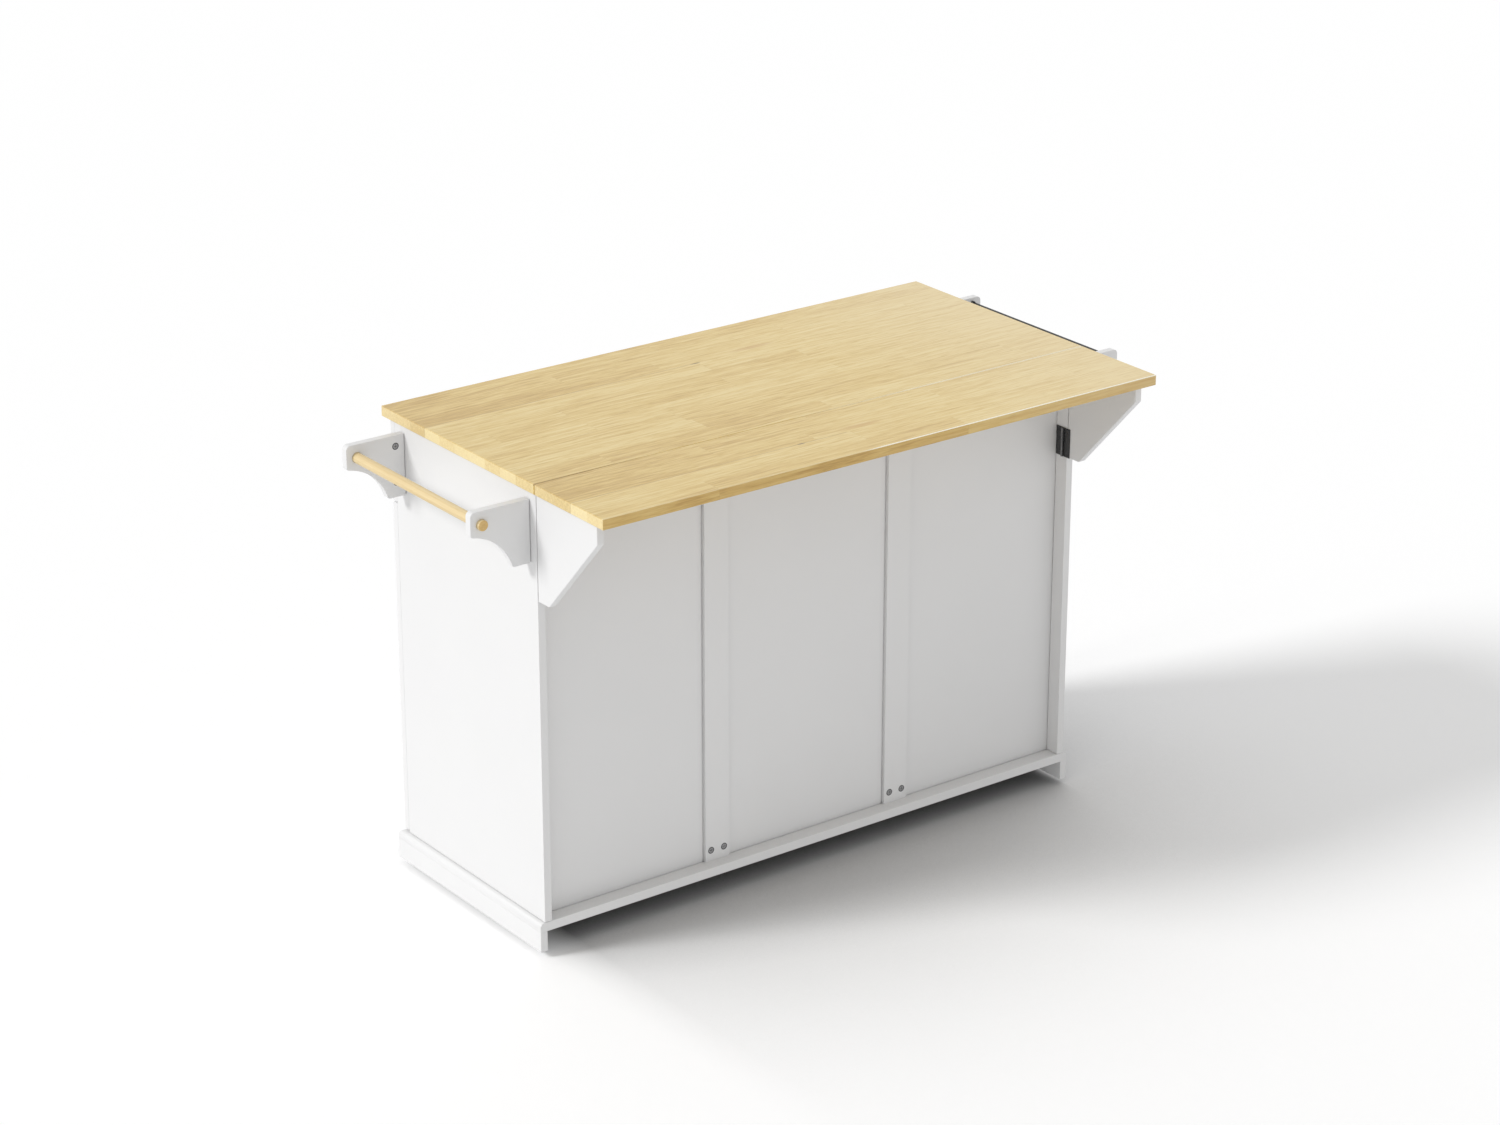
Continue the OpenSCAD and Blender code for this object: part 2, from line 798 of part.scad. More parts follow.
module shelves() {
    color(paint)
        for (b = bays)
            block([b[0] + shelf_play, front_y + shelf_in, shelf_z],
                  [b[1] - shelf_play, stile_back_y - shelf_rear_gap, shelf_z + shelf_t]);
}

module shelf_pins() {
    color(steel)
        for (b = bays, y = pin_ys) {
            bar_x([b[0] - pin_hole, y, pin_z], pin_hole + pin_out, shelf_pin_r);
            bar_x([b[1] - pin_out, y, pin_z], pin_hole + pin_out, shelf_pin_r);
        }
}

// ---- Drawers ----

module runner_rails() {
    color(steel)
        for (b = bays, way = [1, -1]) {
            x = way > 0 ? b[0] : b[1];
            translate([x, front_y + runner_pad, runner_z])
                mirror([way < 0 ? 1 : 0, 0, 0]) {
                    translate([0, 0, -runner_h / 2])
                        cube([runner_t, box_len - 2 * runner_pad, runner_h]);
                    for (z = [-runner_h / 2, runner_h / 2 - runner_t])
                        translate([0, 0, z])
                            cube([runner_room - 3, box_len - 2 * runner_pad, runner_t]);
                }
        }
}

module drawer_runners(n) {
    b = bays[n];
    half = runner_h / 2 - runner_t - slide_gap;
    color(steel)
        for (way = [1, -1])
            translate([way > 0 ? b[0] : b[1], front_y + runner_pad, runner_z])
                mirror([way < 0 ? 1 : 0, 0, 0])
                    translate([runner_t + slide_gap, 0, -half])
                        cube([runner_room - runner_t - slide_gap,
                              box_len - 2 * runner_pad, 2 * half]);
}

module drawer_box(n) {
    left = bays[n][0] + runner_room;
    right = bays[n][1] - runner_room;
    low = box_y;
    high = low + box_len;
    top = box_z + box_h;
    color(paint) {
        block([left, low, box_z], [left + box_t, high, top]);
        block([right - box_t, low, box_z], [right, high, top]);
        block([left + box_t, low, box_z], [right - box_t, low + box_t, top]);
        block([left + box_t, high - box_t, box_z], [right - box_t, high, top]);
        block([left + box_t, low + box_t, box_z + bottom_up],
              [right - box_t, high - box_t, box_z + bottom_up + bottom_t]);
    }
}

// A front with a raised frame around a lower panel
module framed_front(low, high) {
    difference() {
        block([low[0], fronts_y, low[1]], [high[0], fronts_y + front_t, high[1]]);
        block([low[0] + frame_w, fronts_y - eps, low[1] + frame_w],
              [high[0] - frame_w, fronts_y + frame_deep, high[1] - frame_w]);
    }
}

module drawer_front(n) {
    color(paint)
        framed_front([fronts[n][0], drawer_z], [fronts[n][1], drawer_top_z]);
}

module drawer_handle(n) {
    x = (fronts[n][0] + fronts[n][1]) / 2;
    z = (drawer_z + drawer_top_z) / 2;
    y = fronts_y - handle_out + bar_r;
    color(black) {
        bar_x([x - bar_len / 2, y, z], bar_len, bar_r);
        for (i = [-1, 1])
            difference() {
                bar_y([x + i * post_gap / 2, y, z], fronts_y + frame_deep - y, post_r);
                bar_x([x - bar_len / 2, y, z], bar_len, bar_r);
            }
    }
}

// ---- Doors ----

// Height of each hinge of a door
cup_zs = [door_z + cup_end, door_top_z - cup_end];
function hinge_edge(n) = fronts[n][hinge_side[n] > 0 ? 1 : 0];
function cup_x(n) = hinge_edge(n) - hinge_side[n] * cup_edge;

module door(n) {
    color(paint)
        difference() {
            framed_front([fronts[n][0], door_z], [fronts[n][1], door_top_z]);
            for (z = cup_zs)
                bar_y([cup_x(n), fronts_y + front_t - cup_deep, z], cup_deep + eps,
                      cup_r + pin_fit);
        }
}

module hinge_cups(n) {
    back = fronts_y + front_t;
    flange_h = 50;
    flange_w = 14;
    color(steel)
        for (z = cup_zs) {
            difference() {
                bar_y([cup_x(n), back - cup_deep, z], cup_deep, cup_r);
                bar_y([cup_x(n), back - cup_deep + cup_wall, z], cup_deep,
                      cup_r - cup_wall);
            }
            // ears with two screws, flat on the back of the door
            for (i = [-1, 1])
                block([cup_x(n) - flange_w / 2, back,
                       z + (i > 0 ? cup_r - cup_wall : -flange_h / 2)],
                      [cup_x(n) + flange_w / 2, back + 1,
                       z + (i > 0 ? flange_h / 2 : -cup_r + cup_wall)]);
        }
}

// Mounting plate and arm of each hinge. The arm's nose reaches into the cup and leaves it
// through its mouth as the door swings away.
module hinge_arms() {
    plate = 2;
    plate_h = 34;
    plate_y = 20;
    arm_h = 14;
    nose_w = 7;
    nose_y = -front_clear - cup_deep + cup_wall + slide_gap;
    color(steel)
        for (n = [0 : 2], z = cup_zs) {
            side = hinge_side[n];
            wall_x = side > 0 ? bays[n][1] : bays[n][0];
            arm_w = abs(wall_x - cup_x(n)) + 2;
            translate([wall_x, front_y, z]) mirror([side > 0 ? 1 : 0, 0, 0]) {
                translate([0, plate_y, -plate_h / 2])
                    cube([plate, arm_len - plate_y, plate_h]);
                translate([0, slide_gap, -arm_h / 2])
                    cube([arm_w, arm_len - slide_gap, arm_h]);
                translate([arm_w - nose_w, nose_y, -arm_h / 2])
                    cube([nose_w, slide_gap - nose_y, arm_h]);
            }
        }
}

module door_handle(n) {
    free = hinge_side[n] > 0 ? fronts[n][0] : fronts[n][1];
    x = free + hinge_side[n] * frame_w / 2;
    top = door_top_z - handle_drop;
    z = top - bar_len / 2;
    y = fronts_y - handle_out + bar_r;
    color(black) {
        bar_z([x, y, top - bar_len], bar_len, bar_r);
        for (i = [-1, 1])
            difference() {
                bar_y([x, y, z + i * post_gap / 2], fronts_y - y, post_r);
                bar_z([x, y, top - bar_len], bar_len, bar_r);
            }
    }
}

// ---- Casters ----

module caster_plates() {
    half = caster_plate / 2;
    color(steel)
        for (x = caster_xs, y = caster_ys)
            translate([x, y, 0])
                difference() {
                    union() {
                        block([-half, -half, board_z - caster_plate_t],
                              [half, half, board_z]);
                        bar_z([0, 0, race_z], board_z - caster_plate_t - race_z, crown_r);
                    }
                    bar_z([0, 0, race_z - eps], board_z - race_z + 2 * eps,
                          king_r + pin_fit);
                    for (i = [-1, 1], j = [-1, 1])
                        bar_z([i * (half - 6), j * (half - 6),
                               board_z - caster_plate_t - eps],
                              caster_plate_t + 2 * eps, 2.5);
                }
}

// One cheek of a fork, in the plane of the wheel: from the crown down to the axle
module cheek_outline() {
    drop = crown_z - wheel_r;
    difference() {
        union() {
            polygon([[-leg_w / 2, drop], [leg_w / 2, drop], [trail + leg_w / 2, 0],
                     [trail - leg_w / 2, 0]]);
            translate([trail, 0]) circle(r = leg_w / 2);
        }
        translate([trail, 0]) circle(r = axle_r + pin_fit);
    }
}

// Fork and axle, the wheel trailing toward -Y from the swivel pin
module caster_fork(x, y) {
    half = wheel_w / 2 + fork_side;
    color(steel)
        translate([x, y, 0]) {
            for (i = [-1, 1])
                translate([i > 0 ? half + fork_t : -half, 0, wheel_r])
                    rotate([90, 0, -90]) linear_extrude(fork_t) cheek_outline();
            bar_z([0, 0, crown_z], fork_t, crown_r);
            bar_z([0, 0, crown_z], board_z - crown_z - slide_gap, king_r);
            bar_x([-half - fork_t, -trail, wheel_r], 2 * (half + fork_t), axle_r);
        }
}

module caster_wheel(x, y) {
    color("dimgray")
        translate([x - wheel_w / 2, y - trail, wheel_r]) rotate([0, 90, 0])
            difference() {
                cylinder(h = wheel_w, r = wheel_r, $fn = 72);
                translate([0, 0, -eps])
                    cylinder(h = wheel_w + 2 * eps, r = axle_r + axle_fit);
            }
}

countertop();
drop_leaf();
hinge_leaves_fixed();
leaf_hinge_flaps();
side_panel(1);  // side_panel_right
side_panel(-1);  // side_panel_left
divider(1);  // divider_right
divider(-1);  // divider_left
floor_board();
top_rails();
drawer_rails();
back_panels();
back_stiles();
plinth_boards();
cam_locks();
rack_bracket(1, 0);  // towel_bracket_front
rack_bracket(1, 1);  // towel_bracket_rear
towel_bar();
rack_bracket(-1, 0);  // spice_bracket_front
rack_bracket(-1, 1);  // spice_bracket_rear
spice_shelf();
spice_rail();
shelves();
shelf_pins();
support_bracket(1);  // support_bracket_right
support_bracket(-1);  // support_bracket_left
bracket_hinge_flaps(1);  // bracket_hinge_flaps_right
bracket_hinge_flaps(-1);  // bracket_hinge_flaps_left
runner_rails();
drawer_front(0);  // drawer_front_left
drawer_front(1);  // drawer_front_middle
drawer_front(2);  // drawer_front_right
drawer_box(0);  // drawer_box_left
drawer_box(1);  // drawer_box_middle
drawer_box(2);  // drawer_box_right
drawer_handle(0);  // drawer_handle_left
drawer_handle(1);  // drawer_handle_middle
drawer_handle(2);  // drawer_handle_right
drawer_runners(0);  // drawer_runners_left
drawer_runners(1);  // drawer_runners_middle
drawer_runners(2);  // drawer_runners_right
door(0);  // door_left
door(1);  // door_middle
door(2);  // door_right
door_handle(0);  // door_handle_left
door_handle(1);  // door_handle_middle
door_handle(2);  // door_handle_right
hinge_arms();
hinge_cups(0);  // hinge_cups_left
hinge_cups(1);  // hinge_cups_middle
hinge_cups(2);  // hinge_cups_right
caster_plates();
caster_fork(caster_xs[0], caster_ys[0]);  // caster_fork_front_right
caster_fork(caster_xs[1], caster_ys[0]);  // caster_fork_front_left
caster_fork(caster_xs[0], caster_ys[1]);  // caster_fork_rear_right
caster_fork(caster_xs[1], caster_ys[1]);  // caster_fork_rear_left
caster_wheel(caster_xs[0], caster_ys[0]);  // caster_wheel_front_right
caster_wheel(caster_xs[1], caster_ys[0]);  // caster_wheel_front_left
caster_wheel(caster_xs[0], caster_ys[1]);  // caster_wheel_rear_right
caster_wheel(caster_xs[1], caster_ys[1]);  // caster_wheel_rear_left
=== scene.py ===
# Drop leaf kitchen island: the looks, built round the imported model, in metres.
# +X is the towel bar's end, +Y the drop leaf's side, and the doors face -Y.
import math

import bmesh
import bpy
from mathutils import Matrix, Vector


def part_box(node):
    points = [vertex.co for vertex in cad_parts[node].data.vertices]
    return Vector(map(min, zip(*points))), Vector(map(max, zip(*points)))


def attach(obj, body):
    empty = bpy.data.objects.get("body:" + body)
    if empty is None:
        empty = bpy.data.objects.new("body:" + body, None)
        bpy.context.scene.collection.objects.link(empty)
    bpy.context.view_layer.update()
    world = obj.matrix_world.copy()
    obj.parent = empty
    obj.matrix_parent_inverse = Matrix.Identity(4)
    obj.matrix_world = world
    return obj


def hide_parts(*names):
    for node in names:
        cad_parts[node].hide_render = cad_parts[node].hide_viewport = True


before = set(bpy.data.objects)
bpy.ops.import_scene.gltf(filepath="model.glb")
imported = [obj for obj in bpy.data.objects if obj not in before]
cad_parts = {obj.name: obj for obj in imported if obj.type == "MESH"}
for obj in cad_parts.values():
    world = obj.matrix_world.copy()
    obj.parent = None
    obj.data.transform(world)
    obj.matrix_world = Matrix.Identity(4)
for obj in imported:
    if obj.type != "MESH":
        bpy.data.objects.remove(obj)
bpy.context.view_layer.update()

# --- Worktop and drop leaf -------------------------------------------------------------
# Two boards of glued-up rubberwood staves, 20 mm thick and planed flush, with their edges
# just taken off and a clear satin lacquer. The leaf hangs on hinges along a 1 mm joint.


class Tone:
    """A value that varies over a finish: Python's operators add its Math nodes."""

    def __init__(self, finish, socket):
        self.finish, self.socket = finish, socket

    def maths(self, operation, *others):
        return self.finish.node("ShaderNodeMath", {"operation": operation},
                                (self, *others))

    def __add__(self, other):
        return self.maths("ADD", other)

    def __sub__(self, other):
        return self.maths("SUBTRACT", other)

    def __rsub__(self, other):
        return self.maths("MULTIPLY_ADD", -1.0, other)

    def __mul__(self, other):
        return self.maths("MULTIPLY", other)

    def __truediv__(self, other):
        return self.maths("DIVIDE", other)

    def __pow__(self, other):
        return self.maths("POWER", other)

    def __mod__(self, other):
        return self.maths("FLOORED_MODULO", other)

    def __gt__(self, other):
        return self.maths("GREATER_THAN", other)

    def __lt__(self, other):
        return self.maths("LESS_THAN", other)

    def __abs__(self):
        return self.maths("ABSOLUTE")

    def __floor__(self):
        return self.maths("FLOOR")

    def held(self):
        """The value held between 0 and 1."""
        return self.maths("MINIMUM", 1.0).maths("MAXIMUM", 0.0)

    __radd__, __rmul__ = __add__, __mul__


class Nodes:
    """The nodes of a finish, or of the light from all round."""

    def __init__(self, tree):
        self.tree = tree

    def node(self, kind, settings=None, sockets=(), output=0):
        """A new node: its settings first, and then the values or links of its sockets."""
        made = self.tree.nodes.new(kind)
        for name, value in (settings or {}).items():
            if name == "stops":
                while len(made.color_ramp.elements) < len(value):
                    made.color_ramp.elements.new(0.5)
                for stop, (place, colour) in zip(made.color_ramp.elements, value):
                    stop.position, stop.color = place, (*colour, 1)
            else:
                setattr(made, name, value)
        if not isinstance(sockets, dict):
            sockets = dict(enumerate(sockets))
        for key, value in sockets.items():
            self.join(made.inputs[key], value)
        return Tone(self, made.outputs[output])

    def join(self, socket, value):
        if isinstance(value, Tone):
            self.tree.links.new(value.socket, socket)
        else:
            socket.default_value = value


class Finish(Nodes):
    """A material of the island, patterned on Object coordinates."""

    def __init__(self, name, **plain):
        self.material = bpy.data.materials.new(name)
        self.material.use_nodes = True
        super().__init__(self.material.node_tree)
        self.shader = self.tree.nodes["Principled BSDF"]
        for socket, value in plain.items():
            self.feed(socket.replace("_", " "), value)

    def feed(self, socket, value):
        self.join(self.shader.inputs[socket], value)

    def place(self):
        """Where a point of the surface is."""
        return self.node("ShaderNodeTexCoord", output="Object")

    def axes(self, at, letters="XYZ"):
        """A place's distances along some of the axes."""
        return [self.node("ShaderNodeSeparateXYZ", None, [at], axis) for axis in letters]

    def vector(self, x, y, z):
        return self.node("ShaderNodeCombineXYZ", None, [x, y, z])

    def noise(self, at, scale, detail=2.0, rough=0.5):
        """Noise between 0 and 1, its scale given along each axis."""
        at = self.node("ShaderNodeMapping", None, {"Vector": at, "Scale": scale})
        return self.node("ShaderNodeTexNoise", None, {
            "Vector": at, "Scale": 1.0, "Detail": detail, "Roughness": rough})

    def chance(self, x, y):
        """One random number for each pair of whole numbers."""
        return self.node("ShaderNodeTexWhiteNoise", {"noise_dimensions": "2D"},
                         {"Vector": self.vector(x, y, 0.0)})

    def blend(self, share, first, second, how="MIX"):
        """One colour into another, by a share between 0 and 1."""
        settings = {"data_type": "RGBA", "blend_type": how}
        first, second = ((*c, 1) if isinstance(c, tuple) else c for c in (first, second))
        return self.node("ShaderNodeMix", settings, {0: share, 6: first, 7: second}, 2)

    def bump(self, height, strength, distance=0.001):
        self.feed("Normal", self.node("ShaderNodeBump", None, {
            "Strength": strength, "Distance": distance, "Height": height}))


(top_low, top_high), (leaf_low, leaf_high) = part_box("countertop"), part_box("drop_leaf")
JOINT = (top_high.y + leaf_low.y) / 2    # the middle of the gap between the boards
TOP_EASE = 0.0010                        # how much the boards' arrises are taken off
STAVE = 0.050                            # width of a stave
STAVE_LENGTHS = 0.48, 0.30               # the shortest, and how much longer some are
SEAM, BUTT = 0.008, 0.0012               # glue lines, as shares of a stave each side
DARK_SEAM = 0.0011                       # half the width of the darker one
SKIN = 0.0003                            # what still counts as lying on a face
GRAIN = [(0.00, (0.515, 0.335, 0.095)), (0.35, (0.640, 0.455, 0.155)),
         (0.65, (0.700, 0.525, 0.205)), (1.00, (0.755, 0.600, 0.280))]
PORE, GLUE = (0.36, 0.23, 0.09), (0.30, 0.18, 0.07)
KNOT, BROWN = (0.11, 0.065, 0.03), (0.50, 0.27, 0.07)
PALE, SIDE_PAINTED_SHADE = (0.80, 0.70, 0.52), (0.90, 0.82, 0.66)
END_GRAIN, UNDERSIDE = (0.87, 0.76, 0.46), (0.62, 0.56, 0.46)
# painted shade for the joint, and painted highlights for the joint and the rear arris
JOINT_PAINTED_SHADE, JOINT_PAINTED_HIGHLIGHT = (0.40, 0.27, 0.11), (0.93, 0.87, 0.68)
ARRIS_PAINTED_HIGHLIGHT = (0.97, 0.93, 0.79)


def hardwood(name, first_edge, dark_rows, knots):
    """Staves along X, each of a few lengths end to end, with the grain along them. Knots
    and brown streaks are given by place, half length, half width, depth and colour."""
    wood = Finish(name, Specular_IOR_Level=0.5, Coat_Weight=0.30, Coat_Roughness=0.24)
    x, y, z = wood.axes(wood.place())
    across = (y - first_edge) / STAVE
    row = math.floor(across)
    shortest, longer = STAVE_LENGTHS
    along = (x + 3.0 * wood.chance(row, 3.0)) / (shortest + longer * wood.chance(row, 7.0))
    pick = wood.chance(row, math.floor(along))
    # each length of wood has its own stretch of grain
    cut = wood.vector(x + pick * 9.0, y + pick * 3.0, z + pick)
    cloud = wood.noise(cut, (2.4, 13.0, 13.0), 3.0, 0.5)
    bent = wood.vector(x, y + cloud * 0.02, z + pick)
    streak = wood.noise(bent, (3.0, 85.0, 85.0), 4.0, 0.6)
    wisp = wood.noise(bent, (8.0, 190.0, 190.0), 3.0, 0.6)
    fibre = wood.noise(bent, (22.0, 420.0, 420.0), 3.0, 0.6)
    pores = wood.noise(bent, (30.0, 640.0, 640.0), 1.0, 0.5)
    # the staves along the front are tanner towards the towel bar's end
    tan = ((x + 0.1) / 0.7).held() * (across < dark_rows) * 0.26
    shade = 0.28 * pick + 0.60 * cloud + 0.80 * streak + 1.80 * wisp + 1.50 * fibre
    shade = shade - 1.885 - x * 0.15 - tan
    colour = wood.node("ShaderNodeValToRGB", {"stops": GRAIN}, [shade])
    pits = ((pores - 0.60) * 7.0).held() * 0.30
    colour = wood.blend(pits, colour, PORE)
    # the top is paler towards the spice rack's end
    colour = wood.blend(((-0.20 - x) / 0.40).held() * 0.24, colour, PALE)
    # glue lines between staves, one of them darker, and between the lengths of a stave
    seam = (abs(across % 1.0 - 0.5) > 0.5 - SEAM) * 0.07
    seam = seam + (abs(across - dark_rows) < DARK_SEAM / STAVE) * (x > 0.03) * 0.40
    butt = (abs(along % 1.0 - 0.5) > 0.5 - BUTT) * 0.10
    colour = wood.blend(seam + butt, colour, GLUE)
    for knot_x, knot_y, long, wide, depth, knot_colour in knots:
        spread = ((x - knot_x) / long) ** 2.0 + ((y - knot_y) / wide) ** 2.0
        mark = (1.0 - spread + (streak - 0.5) * 1.5).held() * depth
        colour = wood.blend(mark, colour, knot_colour)
    # the boards' long sides are painted darker and browner, a painted shade for how they
    # look beside the lit top, with brown streaks of grain on them; the ends and the
    # underside are paler
    side = (z < top_high.z - TOP_EASE) * (abs(y - JOINT) > 0.003)
    end = side * (abs(x) > top_high.x - SKIN)
    colour = wood.blend(side * (1.0 - end), colour, SIDE_PAINTED_SHADE, "MULTIPLY")
    colour = wood.blend(side * ((streak - 0.50) * 5.0).held() * 0.40, colour, BROWN)
    colour = wood.blend(end * (0.22 + 0.40 * pick), colour, END_GRAIN)
    colour = wood.blend((z < top_low.z + SKIN) * 0.5, colour, UNDERSIDE)
    # painted highlights and shade: towards the spice rack the arrises along the back and
    # the joint are painted cream where they would catch the light, and towards the towel
    # bar the joint is painted dark for the shade in its gap
    in_joint = (abs(y - JOINT) < 0.0022) * (z > top_high.z - 0.004)
    colour = wood.blend(in_joint * ((x - 0.38) / 0.15).held() * 0.80, colour, JOINT_PAINTED_SHADE)
    colour = wood.blend(in_joint * ((0.06 - x) / 0.30).held() * 0.85, colour, JOINT_PAINTED_HIGHLIGHT)
    rear_arris_highlight = (y > leaf_high.y - 0.0026) * (z > top_high.z - TOP_EASE)
    highlight_reach = ((0.07 - x) / 0.04).held()
    colour = wood.blend(rear_arris_highlight * (0.15 + 0.77 * highlight_reach), colour, ARRIS_PAINTED_HIGHLIGHT)
    wood.feed("Base Color", colour)
    wood.feed("Roughness", 0.33 + 0.10 * streak + 0.08 * fibre + pits)
    wood.bump(fibre * 0.5 + streak * 0.5 - pits * 4.0 - seam * 2.0, 0.30, 0.0002)
    return wood


def block(low, high, ease):
    """A board between two corners with its arrises rounded."""
    bm = bmesh.new()
    bmesh.ops.create_cube(bm, size=1.0)
    bmesh.ops.scale(bm, vec=high - low, verts=bm.verts)
    bmesh.ops.translate(bm, vec=(low + high) / 2, verts=bm.verts)
    return rounded(bm, bm.edges[:], ease, 3)


def rounded(bm, edges, ease, segments):
    """Rounds edges, and shades only the new faces smooth."""
    made = bmesh.ops.bevel(bm, geom=edges, offset=ease, offset_type="OFFSET",
                           affect="EDGES", segments=segments, profile=0.5,
                           material=-1, clamp_overlap=True)
    for face in made["faces"]:
        face.smooth = True
    return bm


def fit(name, parts, finish, body, nodes):
    """Joins bmeshes into one piece, gives it its finish and its CAD nodes' place."""
    whole = bmesh.new()
    for part in parts:
        loose = bpy.data.meshes.new("part")
        part.to_mesh(loose)
        part.free()
        whole.from_mesh(loose)
        bpy.data.meshes.remove(loose)
    mesh = bpy.data.meshes.new(name)
    whole.to_mesh(mesh)
    whole.free()
    mesh.materials.append(finish.material)
    piece = bpy.data.objects.new(name, mesh)
    bpy.context.scene.collection.objects.link(piece)
    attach(piece, body)
    if nodes:
        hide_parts(*nodes)


top_wood = hardwood("worktop hardwood", top_low.y, 3.0, [
    (0.027, top_low.y + 0.150, 0.013, 0.0026, 0.90, KNOT),
    (-0.115, top_low.y + 0.136, 0.060, 0.010, 0.55, BROWN)])
leaf_wood = hardwood("leaf hardwood", leaf_low.y - 0.037, 3.0, [
    (0.133, leaf_low.y + 0.113, 0.011, 0.0026, 0.90, KNOT),
    (-0.010, leaf_low.y + 0.098, 0.060, 0.010, 0.50, BROWN)])
fit("worktop", [block(top_low, top_high, TOP_EASE)], top_wood, "cabinet",
    ["countertop"])
fit("leaf_board", [block(leaf_low, leaf_high, TOP_EASE)], leaf_wood, "leaf",
    ["drop_leaf"])

# --- Side panels and dividers ----------------------------------------------------------
# Boards of medium density fibreboard, 15 mm thick, sprayed with a white satin paint that
# rounds over their edges. The sides stand on the floor board and carry everything else.


def painted(name, colour):
    """Satin paint, sprayed, with a faint orange peel."""
    paint = Finish(name, Specular_IOR_Level=0.45)
    at = paint.place()
    cloud = paint.noise(at, (5.0, 5.0, 5.0), 3.0)
    orange_peel = paint.noise(at, (650.0, 650.0, 650.0), 2.0)
    darker = tuple(0.965 * c for c in colour)
    paint.feed("Base Color", paint.blend(cloud, colour, darker))
    paint.feed("Roughness", 0.36 + 0.10 * cloud + 0.05 * orange_peel)
    paint.bump(orange_peel, 0.10, 0.0002)
    return paint


def eased(node, ease, segments=2, pared=()):
    """A copy of a CAD node's mesh, merged, with its arrises rounded. A pared face, given as
    its axis, its place and how far it moves, leaves a joint open that the eye can see."""
    bm = bmesh.new()
    bm.from_mesh(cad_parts[node].data)
    bmesh.ops.remove_doubles(bm, verts=bm.verts, dist=0.00001)
    for axis, place, by in pared:
        for vert in bm.verts:
            if abs(vert.co[axis] - place) < 0.00005:
                vert.co[axis] += by
    bmesh.ops.dissolve_limit(bm, angle_limit=math.radians(0.5), verts=bm.verts[:],
                             edges=bm.edges[:])
    for face in bm.faces:
        face.smooth = False
    corners = []
    for edge in bm.edges:
        if len(edge.link_faces) != 2:
            continue
        turn = edge.calc_face_angle(0.0)
        if turn > math.radians(40):
            corners.append(edge)
        elif turn > math.radians(0.6):
            for face in edge.link_faces:
                face.smooth = True
    return rounded(bm, corners, ease, segments)


X, Y, Z = 0, 1, 2
white = painted("white satin paint", (0.743, 0.742, 0.742))
for node in ("side_panel_right", "side_panel_left"):
    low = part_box(node)[0]
    joints = [(Z, low.z, 0.0010), (Y, low.y, 0.0010)]
    fit(node + "_painted", [eased(node, 0.001, 3, pared=joints)], white, "cabinet",
        [node])
for node in ("divider_right", "divider_left"):
    fit(node + "_painted", [eased(node, 0.0006)], white, "cabinet", [node])

# --- Floor board and plinth ------------------------------------------------------------
# The floor board stands out past the sides and front with its upper edge rounded, and
# three plinth boards below it hide the casters. The back is open. All painted white.
for node in ("floor_board", "plinth_boards"):
    fit(node + "_painted", [eased(node, 0.0008)], white, "cabinet", [node])

# --- Rails -----------------------------------------------------------------------------
# Flat rails tie the sides and dividers together under the worktop and between drawers
# and doors, and upright rails do so at the back. Board, painted white.
for node in ("top_rails", "drawer_rails"):
    fit(node + "_painted", [eased(node, 0.0006)], white, "cabinet", [node])

# --- Back panels, stiles and cam locks -------------------------------------------------
# Three thin panels sit in grooves and behind two upright stiles, which stand 5 mm proud
# of them. Cam locks of zinc draw the stiles and rack brackets to what they join, each
# ringed by a flange of dark zinc whose colour is painted shade for the edge of its recess.
PANEL_PLAY = 0.0016      # the panels sit loose in their grooves: a fine dark line shows
set_back = [(Y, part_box("back_panels")[1].y, -PANEL_PLAY)]
fit("back_panels_painted", [eased("back_panels", 0.0003, pared=set_back)], white,
    "cabinet", ["back_panels"])
fit("back_stiles_painted", [eased("back_stiles", 0.0007)], white, "cabinet",
    ["back_stiles"])


def metal(name, colour, roughness, metallic=1.0, worn=None, wear=0.0, coat=0.0,
          barrel_highlight_x=None):
    """Plated or painted metal, a little uneven, with rubbed patches and, on hinges, a
    painted
    highlight: a grey line along the barrels, whose outermost line is this far out along X."""
    made = Finish(name, Coat_Weight=coat, Coat_Roughness=0.12)
    at = made.place()
    cloud = made.noise(at, (40.0, 40.0, 40.0), 4.0, 0.6)
    grit = made.noise(at, (900.0, 900.0, 900.0), 2.0)
    base = made.blend(cloud, colour, tuple(0.8 * c for c in colour))
    if worn:
        base = made.blend(((cloud - 0.6) * 6.0).held() * wear, base, worn)
    if barrel_highlight_x:
        [x] = made.axes(at, "X")
        # painted highlight: a grey line along each hinge barrel
        line = (abs(abs(x) - barrel_highlight_x) < 0.0007) * (0.5 + 0.5 * cloud)
        base = made.blend(line, base, (0.20, 0.20, 0.205))
    made.feed("Base Color", base)
    made.feed("Metallic", metallic)
    made.feed("Roughness", roughness + 0.18 * cloud)
    made.bump(grit, 0.15, 0.0002)
    return made


cam_zinc = metal("cam zinc", (0.44, 0.44, 0.445), 0.42)
fit("cam_discs_and_bolts", [eased("cam_locks", 0.0003)], cam_zinc, "cabinet",
    ["cam_locks"])


